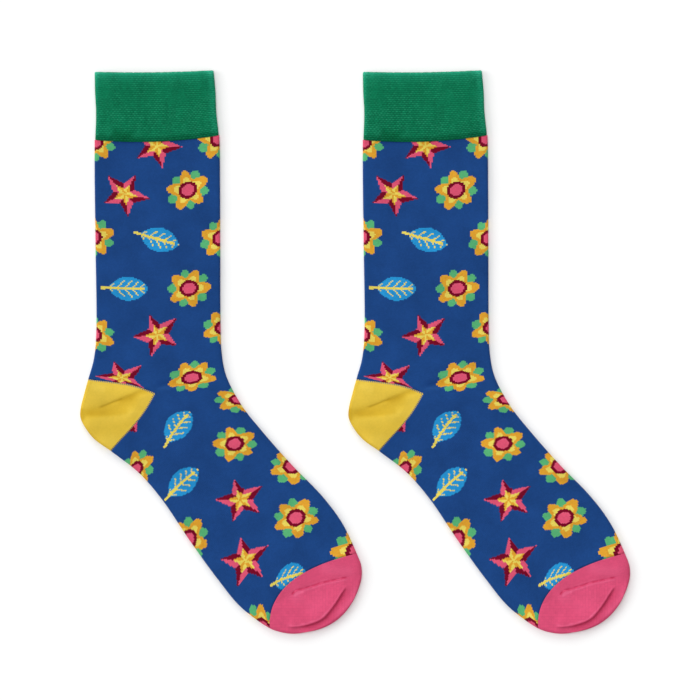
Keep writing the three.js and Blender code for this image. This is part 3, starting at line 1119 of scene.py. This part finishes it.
@dataclass(frozen=True)
class LinkingYarn:
    """Yarn of the small stitches that close the toe."""

    name: str = "toe_linking_yarn"
    yarn: Yarn = Yarn.TOE_PINK

    def material(self) -> bpy.types.Material:
        """Returns the finish as a material."""
        bench = Bench(self.name)
        fibre = bench.noise(bench.place(), 2600.0, detail=3.0)
        colour = bench.shade(self.yarn.colour(), fibre * 0.3 + 0.82)
        bench.cloth(colour, fibre, depth=0.05, roughness=YARN_ROUGHNESS)
        return bench.material


# Pieces of a sock


@dataclass(frozen=True)
class Cloths:
    """The finishes that both socks share."""

    cuff: bpy.types.Material
    body: bpy.types.Material
    heel: bpy.types.Material
    toe: bpy.types.Material
    linking: bpy.types.Material


def declare(piece: bpy.types.Object, finish: bpy.types.Material, node: str = "") -> None:
    """Dresses a piece and ties it to the frame.

    Args:
        piece: The new piece.
        finish: Its material.
        node: Node that it stands for, or nothing.
    """
    piece.data.materials.append(finish)
    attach(piece, "root")
    if node:
        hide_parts(node)
    piece.data.update()
    log.info("%s: %d faces", piece.name, len(piece.data.polygons))


@dataclass
class Part:
    """What every piece of one sock is built from."""

    side: Side
    origin: Vector
    relief: Relief

    def named(self, what: str) -> str:
        """Returns the name of one of this sock's pieces or nodes."""
        return f"{self.side.value}_{what}"

    def single(
        self, sheet: KnitSheet, what: str, wall: float, finish: bpy.types.Material, slot: Slot
    ) -> tuple[bpy.types.Object, float]:
        """Closes a single layer of cloth and makes a piece of it.

        Args:
            sheet: The knitted layer.
            what: The node that it stands for, without its side.
            wall: Thickness of the cloth in millimetres.
            finish: Its material.
            slot: Material slot of the record; not used.

        Returns:
            The piece, and its cut area in square metres.
        """
        sheet.close(bridge_rim=False)
        area = sheet.area()
        piece = sheet.piece(self.named(f"{what}_cloth"), wall)
        declare(piece, finish, self.named(what))
        return piece, area


@dataclass
class Cuff(Part):
    """The turned welt: doubled cloth, round at its mouth and tapering at its lower edge."""

    height: float = 4.0
    puff: float = 0.9
    wall: float = 2.0
    least_hollow: float = 0.45
    edge_height: float = 3.7
    edge_length: float = 4.2
    line: float = 1.4
    groove: float = 0.1
    ragged: float = 0.16
    ragged_reach: float = 2.0
    waist: float = 0.78
    waist_span: Span = (12.0, 31.0)
    ease: float = 0.4
    ease_span: Span = (34.0, 48.0)
    outer_lines: int = 141
    lip_lines: int = 11
    inner_lines: int = 34
    ring: Ring = field(default_factory=lambda: Ring(66, 8))

    def build(self, finish: bpy.types.Material) -> bpy.types.Object:
        """Knits the cuff from its lower edge, over the mouth and down inside.

        Args:
            finish: Material of the cuff.

        Returns:
            The cuff.
        """
        tube = leg_tube()
        end = float(tube.length_to(Row.CUFF_SEAM.value))
        half = self.wall / 2.0
        outside = np.linspace(end, half, self.outer_lines)
        lip = np.radians(np.linspace(90.0, -90.0, self.lip_lines))[1:-1]
        inside = np.linspace(half, end, self.inner_lines)
        lengths = np.concatenate([outside, half * (1.0 - np.cos(lip)), inside])
        turned = np.concatenate([np.ones_like(outside), np.sin(lip), -np.ones_like(inside)])
        to_edge = smooth_step((end - lengths) / self.edge_length)
        height = self.edge_height + (self.height - self.edge_height) * np.sqrt(to_edge)
        wall = np.minimum(self.wall, height / 2.0 - self.least_hollow)
        depth = wall * (1.0 - turned) / 2.0
        lines = 0.5 + 0.5 * np.cos(2.0 * np.pi * lengths / self.line)
        height = height - self.groove * lines * (turned > 0.99)
        near_mouth = np.exp(-((lengths / self.ragged_reach) ** 2))[:, None]
        wale = np.arange(len(self.ring.wales))
        uneven = self.ragged * (np.sin(wale * 1.9) * np.sin(wale * 0.37) + 0.4 * np.sin(wale * 5.1))
        uneven = uneven * (np.abs(self.ring.wales - WALES_ROUND / 2.0) < WALES_ROUND / 2.0 - 1.0)
        rows = tube.row_at(lengths[:, None] + near_mouth * np.maximum(0.0, uneven))
        puff = self.puff * np.sqrt(to_edge)
        eased = 1.0 - self.ease * between(lengths, *self.ease_span)
        pull = self.waist * between(lengths, *self.waist_span) * eased
        places = self.ring.places(tube, self.relief, rows, height, depth, puff=puff, pull=pull)
        run = np.cumsum(np.abs(np.diff(lengths, prepend=lengths[0])))
        courses = (run - run[np.argmin(lengths)]) / COURSE
        stitches = np.stack(np.broadcast_arrays(self.ring.wales, courses[:, None]), axis=-1)
        sheet = KnitSheet(self.origin)
        sheet.add(Patch(places, [stitches], self.relief.tone(places) * (turned[:, None] > -0.5)))
        sheet.close(bridge_rim=True)
        piece = sheet.piece(self.named("cuff_cloth"), wall=0.0)
        declare(piece, finish, self.named("cuff"))
        return piece


@dataclass
class LegAndFoot(Part):
    """The patterned tube from the cuff round the ankle to the toe."""

    height: float = 3.4
    toe_height: float = 3.7
    wall: float = 1.1
    thickening: float = 12.0
    step: float = 1.5
    ring: Ring = field(default_factory=lambda: Ring(60, 8))

    def build(self, finish: bpy.types.Material) -> tuple[bpy.types.Object, float]:
        """Knits leg and foot, which share the front half of the row at the heel's corner.

        Args:
            finish: Material of the tube.

        Returns:
            The tube, and its cut area in square metres.
        """
        sheet = KnitSheet(self.origin)
        spans = ((leg_tube(), Row.CUFF_SEAM, Row.HEEL_CORNER), (foot_tube(), Row.HEEL_CORNER, Row.TOE_SEAM))
        for tube, first, last in spans:
            rows = tube.rows(first.value, last.value, self.step)
            lengths = tube.length_to(rows)
            to_toe = smooth_step(1.0 - (tube.length_to(Row.TOE_SEAM.value) - lengths) / self.thickening)
            height = self.height + (self.toe_height - self.height) * to_toe
            places = self.ring.places(tube, self.relief, rows, height)
            stitches = np.stack(np.broadcast_arrays(self.ring.wales, lengths[:, None] / COURSE), axis=-1)
            sheet.add(Patch(places, [stitches], self.relief.tone(places)))
        return self.single(sheet, "leg_and_foot", self.wall, finish, Slot.BODY)


@dataclass
class Heel(Part):
    """The short-row pocket: a fan of lines from the back edge to its point, folded round the edge."""

    seam_height: float = 3.4
    height: float = 3.8
    wall: float = 1.2
    thickening: float = 7.0
    lines: int = 34
    ring: Ring = field(default_factory=lambda: Ring(120, 10))

    def fan(self, low: float, high: float, seam: float) -> Patch:
        """Knits one half of the pocket, with its courses along the seam that it starts from.

        Args:
            low: Where along the back edge the half starts, from 0 to 1.
            high: Where it ends.
            seam: The end of the back edge that its seam leaves from, 0 or 1.

        Returns:
            The half.
        """
        count = self.ring.back_half
        share, out, lift = (part[:count] for part in (self.ring.share, self.ring.out, self.ring.lift))
        tip = np.array(SECTIONS[Row.HEEL_CORNER.value][1])
        edge_rail = Rail(HEEL_EDGE)
        places = np.arange(self.lines + 1) / self.lines * (high - low) + low
        edges = edge_rail.at(places * (len(HEEL_EDGE) - 1))[:, None, :]
        bows = (HEEL_BOW_LEG + (HEEL_BOW_FOOT - HEEL_BOW_LEG) * places)[:, None, None]
        fine = bowed_line(edges, tip, np.linspace(0.0, 1.0, 2 * HALF_STEPS + 1)[:, None], bows)
        lengths = np.linalg.norm(np.diff(fine, axis=1), axis=-1).sum(axis=1)[:, None]
        seam_way = edge_rail.at(np.array(seam * (len(HEEL_EDGE) - 1))) - tip
        seam_way = seam_way / np.linalg.norm(seam_way)
        ways = (edges[:, 0] - tip) / np.linalg.norm(edges[:, 0] - tip, axis=-1, keepdims=True)
        lean = np.abs(ways[:, 0] * seam_way[1] - ways[:, 1] * seam_way[0])[:, None]
        from_seam = (1.0 - share * 2.0) * lengths * lean
        thicker = smooth_step(from_seam / self.thickening)
        height = self.seam_height + (self.height - self.seam_height) * thicker
        radius = height / 2.0
        part = (radius + (lengths - radius) * 2.0 * share + out * radius) / lengths
        plan = bowed_line(edges, tip, part[..., None], bows)
        rise = np.maximum(0.0, lift) * self.relief.at(plan)
        cloth = np.concatenate([plan, (radius + lift * radius + rise)[..., None]], axis=-1)
        steps = np.linalg.norm(np.diff(cloth, axis=1), axis=-1)
        run = np.concatenate([np.zeros((len(places), 1)), np.cumsum(steps, axis=1)], axis=1)
        from_tip = np.minimum(run, run[:, -1:] - run)
        wales = from_tip * (ways @ seam_way)[:, None] / WALE
        stitches = np.stack([wales, from_tip * lean / COURSE], axis=-1)
        return Patch(cloth, [stitches], self.relief.tone(cloth))

    def build(self, finish: bpy.types.Material) -> tuple[bpy.types.Object, float]:
        """Knits the upper and the lower half, which meet along the slanting line of short rows.

        Args:
            finish: Material of the heel.

        Returns:
            The heel, and its cut area in square metres.
        """
        sheet = KnitSheet(self.origin)
        sheet.add(self.fan(0.0, 0.5, 0.0))
        sheet.add(self.fan(0.5, 1.0, 1.0))
        return self.single(sheet, "heel", self.wall, finish, Slot.HEEL)


@dataclass
class Toe(Part):
    """The toe cap, drawn shut at its end. Below the linked seam its courses follow the toe's fold."""

    seam_height: float = 3.7
    height: float = 4.0
    wall: float = 1.3
    thickening: float = 10.0
    wale: float = 1.9
    course: float = 1.3
    step: float = 0.46
    closing_steps: int = 6
    ring: Ring = field(default_factory=lambda: Ring(140, 8))

    def build(self, finish: bpy.types.Material) -> tuple[bpy.types.Object, float]:
        """Knits the cap.

        Args:
            finish: Material of the toe.

        Returns:
            The toe, and its cut area in square metres.
        """
        tube = foot_tube()
        radius = self.height / 2.0
        total = float(tube.length_to(Row.END.value))
        start = float(tube.length_to(Row.TOE_SEAM.value))
        open_rows = tube.rows(Row.TOE_SEAM.value, float(tube.row_at(total - radius)), self.step)
        turn = np.radians(np.linspace(0.0, 90.0, self.closing_steps + 1))[1:]
        lengths = np.concatenate([tube.length_to(open_rows), total - radius + radius * np.sin(turn)])
        close = np.concatenate([np.ones(len(open_rows)), np.cos(turn)])
        thicker = smooth_step((lengths - start) / self.thickening)
        height = self.seam_height + (self.height - self.seam_height) * thicker
        places = self.ring.places(tube, self.relief, tube.row_at(lengths), height, 0.0, close)
        stitches = np.stack(np.broadcast_arrays(self.ring.wales, lengths[:, None] / COURSE), axis=-1)
        upright, level = places[..., 0] / self.wale, places[..., 1] / self.wale
        upright_stitches = np.stack([upright, -places[..., 1] / self.course], axis=-1)
        level_stitches = np.stack([level, places[..., 0] / self.course], axis=-1)
        middles = (places[:-1, :-1, :2] + places[1:, 1:, :2]) / 2.0
        from_seam, _ = CreaseLine(TOE_TURN).measure(middles)
        from_mitre, _ = CreaseLine(TOE_MITRE).measure(middles)
        painted_shading = self.relief.tone(places)
        sheet = KnitSheet(self.origin)
        turned = (from_seam < 0.0).astype(int) * (1 + (from_mitre < 0.0).astype(int))
        sheet.add(Patch(places, [stitches, upright_stitches, level_stitches], painted_shading, turned))
        return self.single(sheet, "toe", self.wall, finish, Slot.TOE)


@dataclass
class LinkedSeam(Part):
    """The row of small, slightly uneven stitches that closes the toe."""

    pitch: float = 1.15
    length: float = 0.66
    width: float = 0.27
    below: float = 0.8
    margin: float = 1.2
    top: float = 3.98
    sunk: float = 0.05
    shift: float = 0.15
    slants: Span = (18.0, 42.0)
    sizes: Span = (0.85, 1.15)

    def build(self, finish: bpy.types.Material) -> bpy.types.Object:
        """Sets the stitches along the seam, each at its own slant.

        Args:
            finish: Material of the yarn.

        Returns:
            The row of stitches.
        """
        line = CreaseLine(TOE_SEAM)
        uneven = np.random.default_rng(7 if self.side is Side.LEFT else 11)
        seam = bmesh.new()
        middles = np.concatenate([[0.0], np.cumsum(line.lengths)])
        for along in np.arange(self.margin, line.total - self.margin, self.pitch):
            at = along + uneven.uniform(-self.shift, self.shift)
            x, y = (np.interp(at, middles, line.points[:, axis]) for axis in (0, 1))
            way = line.ways[min(int(np.searchsorted(middles, at)), len(line.ways)) - 1]
            slant = math.atan2(way[1], way[0]) + math.radians(uneven.uniform(*self.slants))
            x, y = x + way[1] * self.below, y - way[0] * self.below
            z = self.top + float(self.relief.at(np.array([[x, y]]))[0]) - self.sunk
            size = uneven.uniform(*self.sizes)
            shape = Matrix.Diagonal((self.length * size, self.width, self.width * size, 1.0))
            centre = (Vector((x, y, z)) + self.origin) * MM
            matrix = Matrix.Translation(centre) @ Matrix.Rotation(slant, 4, "Z") @ shape
            bmesh.ops.create_icosphere(seam, subdivisions=2, radius=MM, matrix=matrix)
        piece = put_in_scene(seam, self.named("toe_linking"))
        declare(piece, finish)
        return piece


@dataclass
class Sock:
    """One sock of the pair."""

    side: Side

    def origin(self) -> Vector:
        """Returns where the sock's own zero lies in the frame, in millimetres."""
        heel_low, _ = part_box(f"{self.side.value}_heel")
        _, cuff_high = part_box(f"{self.side.value}_cuff")
        mouth = leg_tube().plan(np.zeros(1), np.linspace(0.0, 1.0, 60)[None, :])
        x = heel_low.x / MM - HEEL_REACH
        y = cuff_high.y / MM - float(mouth[..., 1].max())
        return Vector((x, y, 0.0))

    def build(self, cloths: Cloths, ground: bpy.types.Object) -> None:
        """Args:
            cloths: Finishes of the pair.
            ground: What the sock lies on; not used.
        """
        parts = {"side": self.side, "origin": self.origin(), "relief": Relief(self.side)}
        cuff = Cuff(**parts).build(cloths.cuff)
        body, body_area = LegAndFoot(**parts).build(cloths.body)
        heel, heel_area = Heel(**parts).build(cloths.heel)
        toe, toe_area = Toe(**parts).build(cloths.toe)
        seam = LinkedSeam(**parts).build(cloths.linking)


# Surroundings


@dataclass(frozen=True)
class Studio:
    """A white table under soft light from the upper left, seen from straight above."""

    view_middle: Plan = (-3.5, 1.4)
    view_width: float = 490.0
    camera_height: float = 3000.0
    table_reach: float = 12.0
    table_gap: float = 0.00005
    window_heading: float = 135.0
    windows_apart: float = 78.0
    window_height: float = 23.0
    window_spread: float = 42.0
    window_strength: float = 1.7
    ceiling_spread: float = 47.0
    ceiling_strength: float = 1.03
    ceiling_height: float = 84.0
    sky_strength: float = 0.42

    def floor(self) -> bpy.types.Object:
        """Returns the table top."""
        surface = bmesh.new()
        bmesh.ops.create_grid(surface, x_segments=2, y_segments=2, size=self.table_reach)
        bmesh.ops.translate(surface, verts=surface.verts, vec=(0.0, 0.0, -self.table_gap))
        top = put_in_scene(surface, "table_top")
        bench = Bench("white_table")
        speck = bench.noise(bench.place(), 30.0)
        colour = bench.shade((0.9, 0.9, 0.9), speck * 0.01 + 0.995)
        bench.cloth(colour, speck, depth=0.01, roughness=0.8, sheen=0.0)
        top.data.materials.append(bench.material)
        return top

    def lamp(self, name: str, strength: float, spread: float, heading: float, height: float) -> None:
        """Adds a wide distant light.

        Args:
            name: Name of the lamp.
            strength: How bright it is.
            spread: How wide it looks, in degrees.
            heading: Where it stands, in degrees from the right towards the top of the picture.
            height: How high it stands, in degrees.
        """
        light = bpy.data.lights.new(name, "SUN")
        light.energy = strength
        light.angle = math.radians(spread)
        lamp = bpy.data.objects.new(name, light)
        turn, rise = math.radians(heading), math.radians(height)
        way = Vector((math.cos(turn) * math.cos(rise), math.sin(turn) * math.cos(rise), math.sin(rise)))
        lamp.rotation_euler = way.to_track_quat("Z", "Y").to_euler()
        bpy.context.collection.objects.link(lamp)

    def light(self) -> None:
        """Sets up the two windows, the ceiling and the white room."""
        for name, side in (("left_window", 0.5), ("right_window", -0.5)):
            heading = self.window_heading + side * self.windows_apart
            self.lamp(name, self.window_strength, self.window_spread, heading, self.window_height)
        heading = self.window_heading
        self.lamp("ceiling", self.ceiling_strength, self.ceiling_spread, heading, self.ceiling_height)
        world = bpy.data.worlds.new("white_room")
        world.use_nodes = True
        background = world.node_tree.nodes["Background"]
        background.inputs["Color"].default_value = (1.0, 1.0, 1.0, 1.0)
        background.inputs["Strength"].default_value = self.sky_strength
        bpy.context.scene.world = world
        bpy.context.scene.view_settings.view_transform = "Standard"

    def camera(self) -> None:
        """Hangs a long lens straight over the pair."""
        lens = bpy.data.cameras.new("overhead")
        lens.sensor_width = 36.0
        lens.lens = lens.sensor_width * self.camera_height / self.view_width
        lens.clip_end = 100.0
        overhead = bpy.data.objects.new("overhead", lens)
        overhead.location = Vector((*self.view_middle, self.camera_height)) * MM
        bpy.context.collection.objects.link(overhead)
        bpy.context.scene.camera = overhead


def main() -> None:
    """Builds the table, the light, the camera and both socks."""
    logging.basicConfig(level=logging.INFO, format="%(name)s: %(message)s")
    studio = Studio()
    ground = studio.floor()
    studio.light()
    studio.camera()
    log.info("table, light and camera are set")
    cloths = Cloths(
        cuff=CuffKnit().material(),
        body=MotifKnit().material(),
        heel=PlainKnit(
            "heel_yellow_knit", Yarn.HEEL_YELLOW, depth=0.1, groove=0.1, mottle=0.05, edging=Yarn.GROUND_BLUE
        ).material(),
        toe=PlainKnit("toe_pink_knit", Yarn.TOE_PINK, wale_gap_shade=0.06).material(),
        linking=LinkingYarn().material(),
    )
    for side in Side:
        Sock(side).build(cloths, ground)
        log.info("%s sock is built", side.value)


if __name__ == "__main__":
    main()
